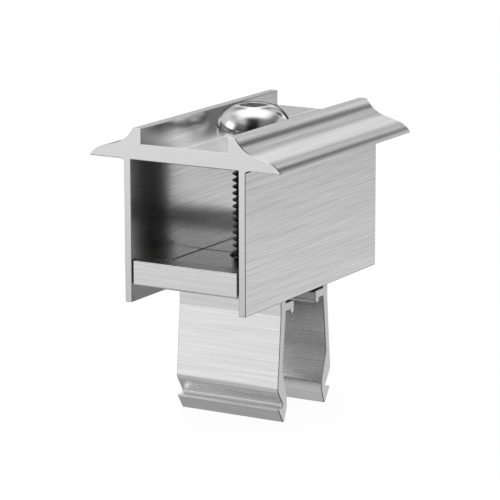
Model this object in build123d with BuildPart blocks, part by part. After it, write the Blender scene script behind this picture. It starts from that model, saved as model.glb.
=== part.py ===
"""Click-in solar mid clamp: clamp cap, click base, button head screw and square nut.

X runs across the clamp, along the mounting rail. Y runs along the module frames that the
wings press on. Z is up. The origin is under the middle of the clamp, level with the tips
of the spring legs. Lengths are in millimetres. The clamp stands fully open.
"""
from build123d import *
import math
import os

# --- Clamp as a whole ---
clamp_length = 50.0  # cap and base block along Y
closing_travel = 18.0  # way down of the cap from fully open to fully closed
closed_gap = 0.7  # left between the plate and the base when fully closed
side_gap = 0.3  # sliding gap between the base block and each cap leg
guide_overlap = 3.2  # cap legs reach this far below the base block when open

# --- Screw: M8 button head with hexagon socket ---
thread_diameter = 8.0
thread_protrusion = 4.2  # screw end below the nut when the clamp is open
screw_end_chamfer = 0.9
head_diameter = 14.0
head_height = 4.4
head_rim = 0.4  # upright edge under the dome
head_flat_diameter = 6.8  # flat top around the socket
dome_sagitta = 1.02
socket_width = 5.0  # across flats
socket_depth = 3.0
socket_angle = 7.0  # corners turned from the X axis
drill_point_depth = 0.8
drill_point_flat = 0.2
hole_clearance = 0.5  # around the screw in the plate and in the web

# --- Square nut: M8, thin form ---
nut_width = 13.0  # across flats
nut_height = 4.0
nut_corner_radius = 0.4
nut_chamfer = 0.5
nut_side_play = 0.65  # between the nut and each spring leg
nut_play = 0.4  # left over the nut in its channel
thread_clearance = 0.05  # around the screw in the nut

# --- Click base: block, lips and web ---
base_width = 22.0  # cut length of the extrusion along X
web_thickness = 2.1
lip_width = 3.9  # raised lips at the two ends of the block
lip_height = 2.6
lip_edge_radius = 0.25
block_edge_radius = 0.4

# --- Click base: spring legs, with offsets from the upright part of the leg ---
leg_length = 27.0  # tips up to the underside of the block
leg_thickness = 1.8
leg_root_radius = 0.6
straight_length = 6.7  # upright part under the block
knee_reach = 1.25  # knee outside the upright part
knee_height = 6.3
knee_radius = 1.8
notch_inset = 0.65  # root of the notch that takes the rail lip
notch_height = 0.6  # upright root of the notch
notch_top_radius = 0.2
notch_root_radius = 0.45
barb_reach = 1.15
barb_height = 2.9
barb_edge_radius = 0.25
tip_inset = 0.75
tip_thickness = 0.5
tip_radius = 0.2
crease_height = 9.9  # where the inside of the leg starts to thicken
bulge_inset = 0.45  # thickened inside of the leg
bulge_top = 4.4
bulge_bottom = 2.6
bulge_radius = 3.0

# --- Click base: shelves that carry the nut ---
shelf_thickness = 1.6
shelf_gap = 8.3  # opening between the two shelves
hook_width = 1.35  # downward lip at the edge of each shelf
hook_drop = 0.8
hook_radius = 0.5
shelf_edge_radius = 0.3

# --- Clamp cap ---
cap_leg_thickness = 1.45
cap_leg_edge_radius = 0.2
plate_thickness = 3.0
head_room = 2.0  # between the screw head and each upright rib
rib_thickness = 1.7
rib_height = 2.9
rib_edge_radius = 0.2

# --- Wings: hollow next to the rib, a nearly flat run, and a rounded nose ---
wing_reach = 7.25  # bearing width outside each cap leg
wing_root_radius = 0.6
wing_tip_thickness = 0.3
hollow_width = 3.8
hollow_sagitta = 0.48
flat_drop = 0.85
nose_width = 2.5
nose_drop = 1.75
nose_sagitta = 0.26

# --- Serrations under the wings, and guide lines for the drill ---
tooth_pitch = 0.66
tooth_depth = 0.32
tooth_land = 0.08  # flat left on the crest of each tooth
guide_width = 0.5
web_guide_depth = 0.2
plate_guide_depth = 0.08

# --- Sawn ends of both extrusions ---
end_bevel = 0.12  # broken edge all round each sawn face
shortest_bevelled = 0.35  # smaller edges, such as the guide lines' flanks, stay sharp

# --- Levels and half widths that follow from the sizes above ---
half_length = clamp_length / 2
half_base = base_width / 2
web_underside = leg_length
web_top = web_underside + web_thickness
lip_top = web_top + lip_height
shelf_top = web_underside - nut_height - nut_play
shelf_underside = shelf_top - shelf_thickness
hook_inside = shelf_gap / 2
leg_inside = nut_width / 2 + nut_side_play
leg_outside = leg_inside + leg_thickness
notch_root = leg_outside - notch_inset
tip_outside = leg_outside - tip_inset
bulge_face = leg_inside - bulge_inset
plate_underside = lip_top + closing_travel + closed_gap
plate_top = plate_underside + plate_thickness
cap_leg_end = web_underside - guide_overlap
cap_leg_inside = half_base + side_gap
cap_leg_outside = cap_leg_inside + cap_leg_thickness
rib_inside = head_diameter / 2 + head_room
rib_outside = rib_inside + rib_thickness
rib_top = plate_top + rib_height
wing_tip = cap_leg_outside + wing_reach
wing_tip_top = plate_underside + wing_tip_thickness
thread_radius = thread_diameter / 2
clearance_radius = thread_radius + hole_clearance
web_guide = [(-guide_width / 2, 0), (0, -web_guide_depth), (guide_width / 2, 0)]
plate_guide = [(-guide_width / 2, 0), (0, -plate_guide_depth), (guide_width / 2, 0)]

os.makedirs("parts", exist_ok=True)

# --- Click base: half of its section, mirrored and extruded along X ---
# Each corner of the half section is a point (y, z) with the radius that rounds it.
base_corners = [
    ((half_length - lip_width, web_top), 0),
    ((half_length - lip_width, lip_top), lip_edge_radius),
    ((half_length, lip_top), lip_edge_radius),
    ((half_length, web_underside), block_edge_radius),
    ((leg_outside, web_underside), leg_root_radius),
    ((leg_outside, web_underside - straight_length), knee_radius),
    ((leg_outside + knee_reach, knee_height), knee_radius),
    ((notch_root, barb_height + notch_height), notch_top_radius),
    ((notch_root, barb_height), notch_root_radius),
    ((leg_outside + barb_reach, barb_height), barb_edge_radius),
    ((tip_outside, 0), tip_radius),
    ((tip_outside - tip_thickness, 0), tip_radius),
    ((bulge_face, bulge_bottom), bulge_radius),
    ((bulge_face, bulge_top), bulge_radius),
    ((leg_inside + knee_reach, crease_height), 0),
    ((leg_inside, shelf_underside), 0),
    ((hook_inside + hook_width, shelf_underside), 0),
    ((hook_inside + hook_width, shelf_underside - hook_drop), hook_radius),
    ((hook_inside, shelf_underside - hook_drop), hook_radius),
    ((hook_inside, shelf_top), shelf_edge_radius),
    ((leg_inside, shelf_top), 0),
    ((leg_inside, web_underside), 0),
]
base_outline = [(0, web_top)] + [point for point, radius in base_corners] + [(0, web_underside)]
base_radii = [radius for point, radius in base_corners]

with BuildPart() as click_base:
    with BuildSketch(Plane.YZ):
        with BuildLine():
            FilletPolyline(*base_outline, radius=base_radii)
            mirror(about=Plane.YZ)
        make_face()
        with Locations((0, web_top)):
            Polygon(*web_guide, align=None, mode=Mode.SUBTRACT)
    extrude(amount=half_base, both=True)
    with Locations((0, 0, web_top)):
        Hole(clearance_radius, depth=2 * web_thickness)
    sawn_faces = click_base.faces().filter_by(Plane.YZ).group_by(Axis.X)
    sawn_edges = (sawn_faces[0] + sawn_faces[-1]).edges()
    chamfer(sawn_edges.filter_by(lambda edge: edge.length > shortest_bevelled), end_bevel)

click_base.part.label = "click_base"
export_step(click_base.part, "parts/click_base.step")

# --- Clamp cap: half of its section, mirrored and extruded along Y ---
hollow_start = (rib_outside, rib_top)
hollow_end = (rib_outside + hollow_width, wing_tip_top + nose_drop + flat_drop)
nose_start = (wing_tip - nose_width, wing_tip_top + nose_drop)
nose_end = (wing_tip, wing_tip_top)
cap_underside = [
    nose_end,
    (wing_tip, plate_underside),
    (cap_leg_outside, plate_underside),
    (cap_leg_outside, cap_leg_end),
    (cap_leg_inside, cap_leg_end),
    (cap_leg_inside, plate_underside),
    (0, plate_underside),
]
cap_underside_radii = [0, wing_root_radius, cap_leg_edge_radius, cap_leg_edge_radius, 0]

# Serrations that bite into the module frames, as many as fit between tip and cap leg
tooth_half_width = (tooth_pitch - tooth_land) / 2
tooth_notch = [(-tooth_half_width, 0), (0, tooth_depth), (tooth_half_width, 0)]
tooth_count = int((wing_reach - wing_root_radius) / tooth_pitch)
tooth_places = []
for tooth in range(tooth_count):
    tooth_x = wing_tip - (tooth + 0.5) * tooth_pitch
    tooth_places.append((tooth_x, plate_underside))
    tooth_places.append((-tooth_x, plate_underside))

with BuildPart() as clamp_cap:
    with BuildSketch(Plane.XZ) as cap_section:
        with BuildLine():
            Polyline((0, plate_top), (rib_inside, plate_top), (rib_inside, rib_top), hollow_start)
            SagittaArc(hollow_start, hollow_end, -hollow_sagitta)
            Line(hollow_end, nose_start)
            SagittaArc(nose_start, nose_end, nose_sagitta)
            FilletPolyline(*cap_underside, radius=cap_underside_radii)
            mirror(about=Plane.YZ)
        make_face()
        # The sketch's own Y axis points up the clamp, so its top corners are the ribs'
        fillet(cap_section.vertices().group_by(Axis.Y)[-1], rib_edge_radius)
        with Locations(*tooth_places):
            Polygon(*tooth_notch, align=None, mode=Mode.SUBTRACT)
    extrude(amount=half_length, both=True)
    with Locations((0, 0, plate_top)):
        Hole(clearance_radius, depth=2 * plate_thickness)
    # The tooth flanks are all shorter than one pitch, and keep their sharp ends
    sawn_faces = clamp_cap.faces().filter_by(Plane.XZ).group_by(Axis.Y)
    sawn_edges = (sawn_faces[0] + sawn_faces[-1]).edges()
    chamfer(sawn_edges.filter_by(lambda edge: edge.length > tooth_pitch), end_bevel)
    # The guide line is shallower than the bevel, so it is cut last and runs out into it
    with BuildSketch(Plane.XZ):
        with Locations((0, plate_top)):
            Polygon(*plate_guide, align=None)
    extrude(amount=half_length, both=True, mode=Mode.SUBTRACT)

clamp_cap.part.label = "clamp_cap"
export_step(clamp_cap.part, "parts/clamp_cap.step")

# --- Screw: head and shank turned in one, then the socket ---
head_radius = head_diameter / 2
head_top = plate_top + head_height
dome_start = (head_radius, plate_top + head_rim)
dome_end = (head_flat_diameter / 2, head_top)
screw_end = shelf_top - thread_protrusion
socket_corner_radius = socket_width / 2 / math.cos(math.pi / 6)
socket_floor = head_top - socket_depth

with BuildPart() as clamp_screw:
    with BuildSketch(Plane.XZ):
        with BuildLine():
            SagittaArc(dome_start, dome_end, -dome_sagitta)
            Polyline(
                dome_end,
                (0, head_top),
                (0, screw_end),
                (thread_radius - screw_end_chamfer, screw_end),
                (thread_radius, screw_end + screw_end_chamfer),
                (thread_radius, plate_top),
                (head_radius, plate_top),
                dome_start,
            )
        make_face()
    revolve(axis=Axis.Z)
    with BuildSketch(Plane.XY.offset(head_top)):
        RegularPolygon(socket_corner_radius, 6, rotation=socket_angle)
    extrude(amount=-socket_depth, mode=Mode.SUBTRACT)
    # Point that the drill leaves under the socket
    with Locations((0, 0, socket_floor - drill_point_depth / 2)):
        Cone(drill_point_flat, socket_width / 2, drill_point_depth, mode=Mode.SUBTRACT)

clamp_screw.part.label = "clamp_screw"
export_step(clamp_screw.part, "parts/clamp_screw.step")

# --- Square nut, resting on the shelves of the base ---
with BuildPart() as channel_nut:
    with BuildSketch(Plane.XY.offset(shelf_top)):
        Rectangle(nut_width, nut_width)
        Circle(thread_radius + thread_clearance, mode=Mode.SUBTRACT)
    extrude(amount=nut_height)
    chamfer(channel_nut.edges().filter_by(GeomType.CIRCLE), nut_chamfer)
    nut_corners = channel_nut.edges().filter_by(Axis.Z).group_by(SortBy.DISTANCE)[-1]
    fillet(nut_corners, nut_corner_radius)

channel_nut.part.label = "channel_nut"
export_step(channel_nut.part, "parts/channel_nut.step")
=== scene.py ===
# %% [markdown]
# # Solar mid clamp
# The clamp is a small machine of four parts: an extruded cap with two serrated wings, an
# extruded base with two spring legs, a polished button head screw and a square nut. This
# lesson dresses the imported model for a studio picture: the extrusions keep their exact
# solids and get a mill finish, and the screw is modelled again with a real thread.

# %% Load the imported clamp
import bpy
import bmesh
import math
from mathutils import Matrix, Vector


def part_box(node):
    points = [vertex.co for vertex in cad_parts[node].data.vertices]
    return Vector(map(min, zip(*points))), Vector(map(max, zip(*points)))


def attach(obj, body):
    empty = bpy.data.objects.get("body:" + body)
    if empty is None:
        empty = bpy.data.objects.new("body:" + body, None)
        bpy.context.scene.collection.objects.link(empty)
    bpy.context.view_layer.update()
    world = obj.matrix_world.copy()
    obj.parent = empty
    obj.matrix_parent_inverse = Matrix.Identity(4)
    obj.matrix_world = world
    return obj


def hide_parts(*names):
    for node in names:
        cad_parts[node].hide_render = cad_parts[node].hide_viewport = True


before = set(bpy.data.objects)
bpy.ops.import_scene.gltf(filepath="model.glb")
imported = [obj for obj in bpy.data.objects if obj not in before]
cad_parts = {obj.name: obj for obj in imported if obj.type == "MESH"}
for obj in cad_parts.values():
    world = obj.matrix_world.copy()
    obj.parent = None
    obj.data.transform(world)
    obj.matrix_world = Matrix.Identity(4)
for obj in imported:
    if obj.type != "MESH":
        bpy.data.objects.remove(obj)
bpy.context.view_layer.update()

MM = 0.001


def new_object(name, data):
    made = bpy.data.objects.new(name, data)
    bpy.context.scene.collection.objects.link(made)
    return made


# %% [markdown]
# ## Camera
# A long lens a good half metre away keeps the clamp's edges almost parallel, as in a
# catalogue picture. The camera is turned from azimuth, elevation and roll instead
# of a Track To constraint, so its place is plain numbers that other views can take over.

# %% Camera
azimuth, elevation, roll = (math.radians(a) for a in (30.142, 12.412, -0.102))
camera_distance = 539.06 * MM
aim_right, aim_up = -0.763 * MM, 29.37 * MM

back = Vector((
    math.sin(azimuth) * math.cos(elevation),
    -math.cos(azimuth) * math.cos(elevation),
    math.sin(elevation),
))
right = (-back).cross(Vector((0, 0, 1))).normalized()
up = right.cross(-back)
rolled_right = right * math.cos(roll) + up * math.sin(roll)
rolled_up = up * math.cos(roll) - right * math.sin(roll)

camera_data = bpy.data.cameras.new("catalogue_camera")
camera_data.sensor_width = 36
camera_data.lens = 203.74
camera = new_object("catalogue_camera", camera_data)
turned = Matrix((rolled_right, rolled_up, back)).transposed().to_4x4()
place = rolled_right * aim_right + rolled_up * aim_up + back * camera_distance
camera.matrix_world = Matrix.Translation(place) @ turned
bpy.context.scene.camera = camera
print("camera at", [round(v / MM, 1) for v in place], "mm")

# %% [markdown]
# ## Studio
# Bare metal has hardly any colour of its own: it shows what stands around it. The clamp
# stands on a pale floor that runs on without an edge. The floor could be lit like paper,
# but it glows evenly instead, so that it stays pale behind every view, and only a trace of
# shadow is left on it. The metal doesn't see it: soft boxes below the horizon stand in.

# %% Pale floor
def plain_material(name):
    material = bpy.data.materials.new(name)
    material.use_nodes = True
    return material, material.node_tree.nodes["Principled BSDF"]


floor_reach = 8.0
corners = [(-1, -1), (1, -1), (1, 1), (-1, 1)]
floor_mesh = bpy.data.meshes.new("studio_floor")
floor_mesh.from_pydata([(x * floor_reach, y * floor_reach, 0) for x, y in corners], [], [(0, 1, 2, 3)])
studio_floor = new_object("studio_floor", floor_mesh)
studio_floor.visible_glossy = False

floor_paper, floor_shader = plain_material("floor_paper")
floor_shader.inputs["Base Color"].default_value = (0.1, 0.1, 0.1, 1)
floor_shader.inputs["Roughness"].default_value = 1.0
floor_shader.inputs["Specular IOR Level"].default_value = 0.0
floor_shader.inputs["Emission Color"].default_value = (1, 1, 1, 1)
floor_shader.inputs["Emission Strength"].default_value = 0.95
floor_mesh.materials.append(floor_paper)
print("floor", 2 * floor_reach, "m wide")

# %% [markdown]
# ## Soft boxes
# Lamps with a size would do for the light, but the reflections matter more here, and those
# only need a direction. So each soft box is a bright patch on the sky: a flat-topped bell,
# as wide and tall as a real box looks from the clamp. Dark cards are patches that take
# light away, and they draw the dark lines along the rounded edges of the wings.

# %% Soft box group
def new_group(name, inputs, outputs):
    group = bpy.data.node_groups.new(name, "ShaderNodeTree")
    for label, kind in inputs:
        group.interface.new_socket(name=label, in_out="INPUT", socket_type=kind)
    for label, kind in outputs:
        group.interface.new_socket(name=label, in_out="OUTPUT", socket_type=kind)
    return group, group.nodes.new("NodeGroupInput"), group.nodes.new("NodeGroupOutput")


def math_node(tree, operation, *values):
    node = tree.nodes.new("ShaderNodeMath")
    node.operation = operation
    for slot, value in enumerate(values):
        if isinstance(value, (int, float)):
            node.inputs[slot].default_value = value
        else:
            tree.links.new(value, node.inputs[slot])
    return node.outputs[0]


def dot_node(tree, first, second):
    node = tree.nodes.new("ShaderNodeVectorMath")
    node.operation = "DOT_PRODUCT"
    tree.links.new(first, node.inputs[0])
    tree.links.new(second, node.inputs[1])
    return node.outputs["Value"]


FLOAT, VECTOR = "NodeSocketFloat", "NodeSocketVector"
soft_box, given, result = new_group(
    "soft_box",
    [("Looking", VECTOR), ("Aim", VECTOR), ("Across", VECTOR), ("Upwards", VECTOR)],
    [("Light", FLOAT)],
)
ahead = dot_node(soft_box, given.outputs["Looking"], given.outputs["Aim"])
safe = math_node(soft_box, "MAXIMUM", ahead, 0.001)
reach = []
for side in ("Across", "Upwards"):
    offset = dot_node(soft_box, given.outputs["Looking"], given.outputs[side])
    share = math_node(soft_box, "DIVIDE", offset, safe)
    square = math_node(soft_box, "MULTIPLY", share, share)
    reach.append(math_node(soft_box, "MULTIPLY", square, square))
fall = math_node(soft_box, "MULTIPLY", math_node(soft_box, "ADD", *reach), -1)
bell = math_node(soft_box, "EXPONENT", fall)
in_front = math_node(soft_box, "GREATER_THAN", ahead, 0.02)
soft_box.links.new(math_node(soft_box, "MULTIPLY", bell, in_front), result.inputs["Light"])
print("group soft_box:", len(soft_box.nodes), "nodes")

# %% Room with its soft boxes and cards
room = bpy.data.worlds.new("studio_room")
room.use_nodes = True
bpy.context.scene.world = room
bpy.context.scene.view_settings.view_transform = "Standard"
room_tree = room.node_tree
looking = room_tree.nodes.new("ShaderNodeTexCoord").outputs["Generated"]


def box_patch(name, compass, height, half_wide, half_tall):
    """compass is in degrees from the back (+Y) towards the right (+X), height above the horizon.

    half_wide and half_tall are the angles at which the light has fallen to about a third.
    """
    c, h = math.radians(compass), math.radians(height)
    aim = Vector((math.sin(c) * math.cos(h), math.cos(c) * math.cos(h), math.sin(h)))
    across = Vector((math.cos(c), -math.sin(c), 0))
    upwards = across.cross(aim)
    node = room_tree.nodes.new("ShaderNodeGroup")
    node.node_tree = soft_box
    node.label = name
    room_tree.links.new(looking, node.inputs["Looking"])
    node.inputs["Aim"].default_value = aim
    node.inputs["Across"].default_value = across / math.tan(math.radians(half_wide))
    node.inputs["Upwards"].default_value = upwards / math.tan(math.radians(half_tall))
    return node.outputs["Light"]


def add_box(name, compass, height, half_wide, half_tall, strength):
    """Adds a soft box to the light so far."""
    patch = box_patch(name, compass, height, half_wide, half_tall)
    glow = math_node(room_tree, "MULTIPLY", patch, strength)
    return math_node(room_tree, "ADD", light, glow)


def add_card(name, compass, height, half_wide, half_tall, depth):
    """Takes the share depth of the light so far away, behind a dark card."""
    patch = box_patch(name, compass, height, half_wide, half_tall)
    shadow = math_node(room_tree, "MULTIPLY", patch, depth)
    return math_node(room_tree, "MULTIPLY", light, math_node(room_tree, "SUBTRACT", 1, shadow))


horizon_light, zenith_light = 0.03, 0.33
rise = room_tree.nodes.new("ShaderNodeSeparateXYZ")
room_tree.links.new(looking, rise.inputs[0])
above = math_node(room_tree, "MAXIMUM", rise.outputs["Z"], 0)
light = math_node(room_tree, "MULTIPLY_ADD", above, zenith_light - horizon_light, horizon_light)
light = add_box("overhead_box", 330, 79, 36, 28, 1.15)
light = add_box("strip_behind", 330, 44, 7, 17, 1.0)
light = add_box("left_wall", 266, 24, 46, 22, 0.55)
light = add_box("left_corner", 234, 17, 17, 15, 1.1)
light = add_box("front_strip", 216, -4, 20, 10, 0.72)
light = add_box("front_high", 200, 50, 30, 12, 0.35)
light = add_box("back_card", 333, 20, 14, 12, 0.75)
light = add_box("back_arch", 8, 31, 16, 13, 0.45)
light = add_box("back_corner", 12, 16, 7, 7, 1.0)
light = add_box("right_corner", 43, 22, 20, 12, 0.5)
light = add_box("right_fill", 95, 2, 35, 20, 0.2)
light = add_box("back_floor", 22, -17, 20, 10, 0.72)
light = add_box("back_left_floor", 330, -14, 18, 9, 0.25)
light = add_box("right_floor", 68, -17, 25, 12, 0.4)
light = add_box("front_floor", 183, -15, 51, 15, 0.38)
light = add_box("left_floor", 215, -36, 22, 14, 0.45)
light = add_box("under_floor", 235, -64, 30, 20, 0.36)
light = add_card("dark_gap", 14, 31, 6, 8, 0.95)
light = add_card("dark_column", 30, 7, 8, 9, 0.75)
light = add_card("dark_front", 154, 33, 21, 40, 0.92)
light = add_card("dark_horizon", 308, 1, 26, 7, 1.0)

# The camera sees plain white, and the metal sees the soft boxes
links = room_tree.links
sky = room_tree.nodes["Background"]
sky.inputs["Color"].default_value = (1, 1, 1, 1)
links.new(light, sky.inputs["Strength"])
pale = room_tree.nodes.new("ShaderNodeBackground")
pale.inputs["Color"].default_value = (1, 1, 1, 1)
seen = room_tree.nodes.new("ShaderNodeLightPath")
choose = room_tree.nodes.new("ShaderNodeMixShader")
links.new(seen.outputs["Is Camera Ray"], choose.inputs["Fac"])
links.new(sky.outputs[0], choose.inputs[1])
links.new(pale.outputs[0], choose.inputs[2])
links.new(choose.outputs[0], room_tree.nodes["World Output"].inputs["Surface"])
print("room:", len(room_tree.nodes), "nodes")

# %% [markdown]
# ## Mill finish
# An extruded profile carries fine lines along the press direction, and its two ends show
# the marks of a saw. A wave texture would repeat, and anisotropic gloss alone would show no
# single line, so the lines are noise, stretched along the profile. Both extrusions share
# one shader group for it, in object coordinates, so that the lines run through every face.

# %% Tone helpers
def noise_node(tree, place, scale, detail):
    node = tree.nodes.new("ShaderNodeTexNoise")
    node.inputs["Scale"].default_value = scale
    node.inputs["Detail"].default_value = detail
    tree.links.new(place, node.inputs["Vector"])
    return node.outputs["Fac"]


def remap_node(tree, value, low, high, from_low=0.0, from_high=1.0):
    node = tree.nodes.new("ShaderNodeMapRange")
    node.inputs["From Min"].default_value = from_low
    node.inputs["From Max"].default_value = from_high
    node.inputs["To Min"].default_value = low
    node.inputs["To Max"].default_value = high
    tree.links.new(value, node.inputs["Value"])
    return node.outputs["Result"]


def grey_node(tree, shade):
    node = tree.nodes.new("ShaderNodeCombineColor")
    for channel in ("Red", "Green", "Blue"):
        tree.links.new(shade, node.inputs[channel])
    return node.outputs["Color"]


print("helpers: noise_node, remap_node, grey_node")

# %% Extrusion line group
press_lines, inside, outside = new_group(
    "press_lines",
    [("Fine Stretch", VECTOR), ("Broad Stretch", VECTOR), ("Saw Axis", VECTOR)],
    [("Tone", FLOAT), ("Sawn", FLOAT), ("Speckle", FLOAT)],
)
nodes, links = press_lines.nodes, press_lines.links
where = nodes.new("ShaderNodeTexCoord")
layers = []
for socket, detail in (("Fine Stretch", 3), ("Broad Stretch", 2)):
    stretched = nodes.new("ShaderNodeVectorMath")
    stretched.operation = "MULTIPLY"
    links.new(where.outputs["Object"], stretched.inputs[0])
    links.new(inside.outputs[socket], stretched.inputs[1])
    layers.append(noise_node(press_lines, stretched.outputs[0], 1, detail))
broad_share = 0.1
blend = nodes.new("ShaderNodeMix")
blend.inputs["Factor"].default_value = broad_share
links.new(layers[0], blend.inputs["A"])
links.new(layers[1], blend.inputs["B"])
links.new(blend.outputs["Result"], outside.inputs["Tone"])
# A face is sawn where it looks along the profile
facing = dot_node(press_lines, where.outputs["Normal"], inside.outputs["Saw Axis"])
sawn = math_node(press_lines, "GREATER_THAN", math_node(press_lines, "ABSOLUTE", facing), 0.9)
links.new(sawn, outside.inputs["Sawn"])
specks_per_metre = 2600
speck = noise_node(press_lines, where.outputs["Object"], specks_per_metre, 2)
links.new(remap_node(press_lines, speck, 0.4, 0.6), outside.inputs["Speckle"])
print("group press_lines:", len(nodes), "nodes")

# %% Mill finish material
# How densely the lines lie, in waves per metre across and along the profile
FINE_ACROSS, FINE_ALONG = 4500.0, 60.0
BROAD_ACROSS, BROAD_ALONG = 900.0, 14.0


def mill_finish(name, along, base, sawn_base, contrast, rough):
    """along is 0 for a profile pressed along X and 1 along Y."""
    material, shader = plain_material(name)
    tree = material.node_tree
    nodes, links = tree.nodes, tree.links
    lines = nodes.new("ShaderNodeGroup")
    lines.node_tree = press_lines
    fine, broad, axis = [FINE_ACROSS] * 3, [BROAD_ACROSS] * 3, [0.0] * 3
    fine[along], broad[along], axis[along] = FINE_ALONG, BROAD_ALONG, 1.0
    lines.inputs["Fine Stretch"].default_value = fine
    lines.inputs["Broad Stretch"].default_value = broad
    lines.inputs["Saw Axis"].default_value = axis
    pick = nodes.new("ShaderNodeMix")
    links.new(lines.outputs["Sawn"], pick.inputs["Factor"])
    links.new(lines.outputs["Tone"], pick.inputs["A"])
    links.new(lines.outputs["Speckle"], pick.inputs["B"])
    grain = pick.outputs["Result"]
    tone = remap_node(tree, grain, base - contrast, base + contrast, 0.3, 0.7)
    dulled = remap_node(tree, lines.outputs["Sawn"], 1.0, sawn_base / base)
    shade = math_node(tree, "MULTIPLY", tone, dulled)
    links.new(grey_node(tree, shade), shader.inputs["Base Color"])
    gloss = remap_node(tree, grain, rough + 0.05, rough - 0.05)
    links.new(gloss, shader.inputs["Roughness"])
    bump = nodes.new("ShaderNodeBump")
    bump.inputs["Strength"].default_value = 0.1
    bump.inputs["Distance"].default_value = 0.02 * MM
    links.new(grain, bump.inputs["Height"])
    links.new(bump.outputs[0], shader.inputs["Normal"])
    shader.inputs["Metallic"].default_value = 1.0
    print(name, "has", len(nodes), "nodes")
    return material


cap_mill = mill_finish("cap_mill_finish", 1, 0.82, 0.75, 0.1, 0.19)
base_mill = mill_finish("base_mill_finish", 0, 0.88, 0.83, 0.06, 0.27)


def dress(node, material):
    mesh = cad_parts[node].data
    mesh.materials.clear()
    mesh.materials.append(material)


dress("clamp_cap", cap_mill)
dress("click_base", base_mill)

# %% [markdown]
# ## Steel
# The screw and the nut are stainless steel: polished on the head, torn by the broach in the
# socket, dark in the thread and dull on the pressed nut. The thread's darkness is painted
# shade, for the shaded hollow inside the clamp where it sits. One material with masks could
# hold all four, but four small ones are easier to change, and they differ in numbers only.
# Each has a faint mottle, which keeps large reflections from looking computed.

# %% Steel finish
def steel(name, tone, contrast, rough, scale):
    material, shader = plain_material(name)
    tree = material.node_tree
    where = tree.nodes.new("ShaderNodeTexCoord")
    mottle = noise_node(tree, where.outputs["Object"], scale, 3)
    shade = remap_node(tree, mottle, tone - contrast, tone + contrast)
    tree.links.new(grey_node(tree, shade), shader.inputs["Base Color"])
    gloss = remap_node(tree, mottle, rough * 0.8, rough * 1.2)
    tree.links.new(gloss, shader.inputs["Roughness"])
    shader.inputs["Metallic"].default_value = 1.0
    print(name, "has", len(tree.nodes), "nodes")
    return material


polished_head = steel("polished_head", 0.76, 0.02, 0.13, 900)
broached_socket = steel("broached_socket", 0.7, 0.06, 0.45, 1500)
# The thread's dark base colour is painted shade, for the shaded hollow inside the clamp where it sits
thread_painted_shade = steel("painted_shade_thread_steel", 0.16, 0.05, 0.35, 1500)
pressed_nut = steel("pressed_nut", 0.5, 0.06, 0.4, 1200)
dress("channel_nut", pressed_nut)

# %% [markdown]
# ## Screw
# The head is turned and polished, with a broached hexagon. A stack of rings makes it: round
# rings for the dome, six-sided ones for the socket, all with the same number of points, so
# that plain quads join them. A boolean would leave ragged faces just where the polish shows.

# %% Ring stack
RING_POINTS = 144


def ring_mesh(rings):
    """Joins rings of RING_POINTS points with quads, and closes each end onto its middle."""
    shell = bmesh.new()
    rows = [[shell.verts.new(p) for p in ring] for ring in rings]
    for low, high in zip(rows, rows[1:]):
        for i in range(RING_POINTS):
            k = (i + 1) % RING_POINTS
            shell.faces.new((low[i], low[k], high[k], high[i]))
    for row in (rows[0], rows[-1]):
        middle = shell.verts.new(sum((v.co for v in row), Vector()) / RING_POINTS)
        for i in range(RING_POINTS):
            shell.faces.new((row[i], row[(i + 1) % RING_POINTS], middle))
    bmesh.ops.recalc_face_normals(shell, faces=shell.faces)
    return shell


def round_ring(radius, level):
    step = 2 * math.pi / RING_POINTS
    return [(radius * math.cos(i * step), radius * math.sin(i * step), level) for i in range(RING_POINTS)]


print("a ring has", RING_POINTS, "points")

# %% Screw head
screw_low, screw_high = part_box("clamp_screw")
head_radius = screw_high.x
head_top = screw_high.z
head_height = 4.4 * MM
head_seat = head_top - head_height
rim_top = head_seat + 0.4 * MM
rim_edge = 0.15 * MM
flat_radius = 3.4 * MM
dome_sagitta = 0.8 * MM
dome_steps = 24
shank_radius = 4.0 * MM
neck_length = 2.0 * MM
neck_foot_radius = 3.2 * MM
socket_apothem = 2.5 * MM
socket_turn = math.radians(7)
socket_edge = 0.12 * MM
socket_depth = 3.0 * MM
drill_depth = 3.8 * MM
drill_tip_radius = 0.2 * MM


def hexagon_ring(apothem, level):
    ring = []
    for i in range(RING_POINTS):
        turn = 2 * math.pi * i / RING_POINTS
        local = (turn - socket_turn) % (math.pi / 3) - math.pi / 6
        reach = apothem / math.cos(local)
        ring.append((reach * math.cos(turn), reach * math.sin(turn), level))
    return ring


chord = Vector((flat_radius - head_radius, head_top - rim_top))
dome_radius = (chord.length**2 / 4 + dome_sagitta**2) / (2 * dome_sagitta)
chord_middle = Vector((head_radius + flat_radius, rim_top + head_top)) / 2
outward = Vector((chord.y, -chord.x)).normalized()
dome_middle = chord_middle - outward * (dome_radius - dome_sagitta)
first = math.atan2(rim_top - dome_middle.y, head_radius - dome_middle.x)
last = math.atan2(head_top - dome_middle.y, flat_radius - dome_middle.x)
dome_rings = []
for step in range(dome_steps + 1):
    turn = first + (last - first) * step / dome_steps
    dome_rings.append(round_ring(
        dome_middle.x + dome_radius * math.cos(turn),
        dome_middle.y + dome_radius * math.sin(turn),
    ))
head_rings = [
    round_ring(neck_foot_radius, head_seat - neck_length),
    round_ring(shank_radius, head_seat - neck_length),
    round_ring(shank_radius, head_seat),
    round_ring(head_radius - rim_edge, head_seat),
    round_ring(head_radius, head_seat + rim_edge),
    *dome_rings,
    hexagon_ring(socket_apothem + socket_edge, head_top),
    hexagon_ring(socket_apothem, head_top - socket_edge),
    hexagon_ring(socket_apothem, head_top - socket_depth),
    round_ring(drill_tip_radius, head_top - drill_depth),
]
head_shell = ring_mesh(head_rings)
print("head:", len(head_shell.faces), "faces, dome radius", round(dome_radius / MM, 2), "mm")

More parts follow.
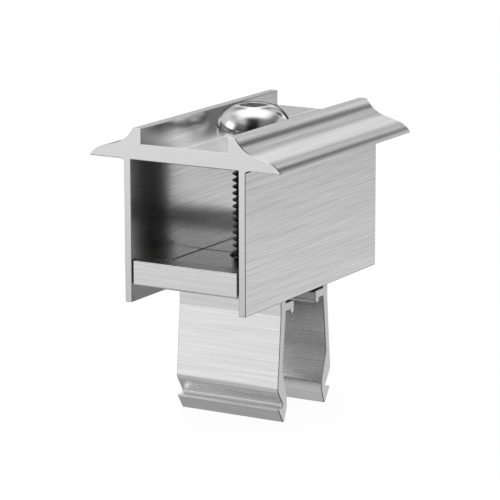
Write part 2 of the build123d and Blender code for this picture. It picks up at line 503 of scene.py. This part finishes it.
# %% [markdown]
# ## Thread
# A thread is one line wound round a core. A Screw modifier could wind a profile, but its
# two ends stay ragged. Here Geometry Nodes lay a flat grid round the screw and shear it by
# one pitch in each turn, so its rows follow the helix exactly, and the radius depends on
# the row alone. The ends are trimmed flat and the seam is merged.

# %% Thread tree
thread_tree = bpy.data.node_groups.new("wound_thread", "GeometryNodeTree")
thread_tree.interface.new_socket(name="Geometry", in_out="OUTPUT", socket_type="NodeSocketGeometry")
thread_inputs = [
    ("Start", "NodeSocketFloat"), ("Length", "NodeSocketFloat"), ("Pitch", "NodeSocketFloat"),
    ("Crest Radius", "NodeSocketFloat"), ("Root Radius", "NodeSocketFloat"),
    ("Chamfer", "NodeSocketFloat"), ("Phase", "NodeSocketFloat"),
    ("Rows", "NodeSocketInt"), ("Points", "NodeSocketInt"), ("Material", "NodeSocketMaterial"),
]
for label, kind in thread_inputs:
    thread_tree.interface.new_socket(name=label, in_out="INPUT", socket_type=kind)
nodes, links = thread_tree.nodes, thread_tree.links
given = nodes.new("NodeGroupInput")
result = nodes.new("NodeGroupOutput")


def step_of(operation, *values):
    return math_node(thread_tree, operation, *values)


# The grid runs once round the screw, and past both ends, where it is trimmed
grid = nodes.new("GeometryNodeMeshGrid")
grid.inputs["Size X"].default_value = 1
grid.inputs["Size Y"].default_value = 1
links.new(given.outputs["Points"], grid.inputs["Vertices X"])
links.new(given.outputs["Rows"], grid.inputs["Vertices Y"])
position = nodes.new("GeometryNodeInputPosition")
axes = nodes.new("ShaderNodeSeparateXYZ")
links.new(position.outputs[0], axes.inputs[0])
round_share = step_of("ADD", axes.outputs["X"], 0.5)
row_share = step_of("ADD", axes.outputs["Y"], 0.5)
span = step_of("ADD", given.outputs["Length"], step_of("MULTIPLY", given.outputs["Pitch"], 2))
below_start = step_of("MULTIPLY", given.outputs["Pitch"], 1.5)
row_level = step_of("SUBTRACT", step_of("MULTIPLY", row_share, span), below_start)
sheared = step_of("ADD", row_level, step_of("MULTIPLY", round_share, given.outputs["Pitch"]))
level = step_of("MINIMUM", step_of("MAXIMUM", sheared, 0), given.outputs["Length"])
turns_up = step_of("DIVIDE", row_level, given.outputs["Pitch"])
phase = step_of("FRACT", step_of("ADD", turns_up, given.outputs["Phase"]))
# Distance from the crest, 0 to 1 over half a pitch, then flat crest, straight flank, flat root
ripple = step_of("MULTIPLY", step_of("ABSOLUTE", step_of("SUBTRACT", phase, 0.5)), 2)
crest_share, root_share = 0.125, 0.75
flank = nodes.new("ShaderNodeMapRange")
flank.inputs["From Min"].default_value = crest_share
flank.inputs["From Max"].default_value = root_share
links.new(ripple, flank.inputs["Value"])
links.new(given.outputs["Crest Radius"], flank.inputs["To Min"])
links.new(given.outputs["Root Radius"], flank.inputs["To Max"])
from_end = step_of("SUBTRACT", level, given.outputs["Chamfer"])
chamfer_radius = step_of("ADD", given.outputs["Crest Radius"], from_end)
radius = step_of("MINIMUM", flank.outputs[0], chamfer_radius)
angle = step_of("MULTIPLY", round_share, 2 * math.pi)
wrapped = nodes.new("ShaderNodeCombineXYZ")
links.new(step_of("MULTIPLY", radius, step_of("COSINE", angle)), wrapped.inputs["X"])
links.new(step_of("MULTIPLY", radius, step_of("SINE", angle)), wrapped.inputs["Y"])
links.new(step_of("ADD", level, given.outputs["Start"]), wrapped.inputs["Z"])
wind = nodes.new("GeometryNodeSetPosition")
links.new(grid.outputs["Mesh"], wind.inputs["Geometry"])
links.new(wrapped.outputs[0], wind.inputs["Position"])
seam_tolerance = 0.0005 * MM
weld = nodes.new("GeometryNodeMergeByDistance")
weld.inputs["Distance"].default_value = seam_tolerance
links.new(wind.outputs[0], weld.inputs["Geometry"])
realize = nodes.new("GeometryNodeRealizeInstances")
links.new(weld.outputs[0], realize.inputs[0])
finish_coat = nodes.new("GeometryNodeSetMaterial")
links.new(realize.outputs[0], finish_coat.inputs["Geometry"])
links.new(given.outputs["Material"], finish_coat.inputs["Material"])
links.new(finish_coat.outputs[0], result.inputs["Geometry"])
print("thread tree:", len(nodes), "nodes")

# %% Wind the thread
thread_holder = new_object("thread_holder", bpy.data.meshes.new("thread_holder"))
winding = thread_holder.modifiers.new("wound_thread", "NODES")
winding.node_group = thread_tree
thread_pitch = 1.25 * MM
thread_start = screw_low.z
thread_length = head_seat - neck_length - thread_start
rows_per_pitch = 16
points_round = 72
turns = round((thread_length + 2 * thread_pitch) / thread_pitch)
thread_sizes = {
    "Start": thread_start, "Length": thread_length, "Pitch": thread_pitch,
    "Crest Radius": shank_radius, "Root Radius": 3.25 * MM, "Chamfer": 0.9 * MM, "Phase": 0.0,
    "Rows": turns * rows_per_pitch + 1, "Points": points_round + 1, "Material": thread_painted_shade,
}
for item in thread_tree.interface.items_tree:
    if item.in_out == "INPUT":
        winding[item.identifier] = thread_sizes[item.name]
graph = bpy.context.evaluated_depsgraph_get()
thread_mesh = bpy.data.meshes.new_from_object(thread_holder.evaluated_get(graph))
thread_holder.modifiers.remove(winding)
print("thread:", len(thread_mesh.polygons), "faces")

# %% Join head and thread
coats = [polished_head, thread_painted_shade, broached_socket]
# Inside this reach, between these levels, a face of the screw belongs to the socket
socket_reach = 2.95 * MM
socket_low, socket_high = head_top - 4.0 * MM, head_top - 0.01 * MM
whole_screw = bmesh.new()
whole_screw.from_mesh(thread_mesh)
for face in whole_screw.faces:
    face.material_index = coats.index(thread_painted_shade)
head_mesh = bpy.data.meshes.new("head_part")
head_shell.to_mesh(head_mesh)
whole_screw.from_mesh(head_mesh)
for face in whole_screw.faces:
    middle = face.calc_center_median()
    if middle.xy.length < socket_reach and socket_low < middle.z < socket_high:
        face.material_index = coats.index(broached_socket)
screw_mesh = bpy.data.meshes.new("button_head_screw")
whole_screw.to_mesh(screw_mesh)
for coat in coats:
    screw_mesh.materials.append(coat)
screw_mesh.shade_smooth()
screw_mesh.set_sharp_from_angle(angle=math.radians(35))
button_head_screw = new_object("button_head_screw", screw_mesh)
bpy.data.objects.remove(thread_holder)
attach(button_head_screw, "screw")
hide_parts("clamp_screw")
print("screw:", len(screw_mesh.polygons), "faces")
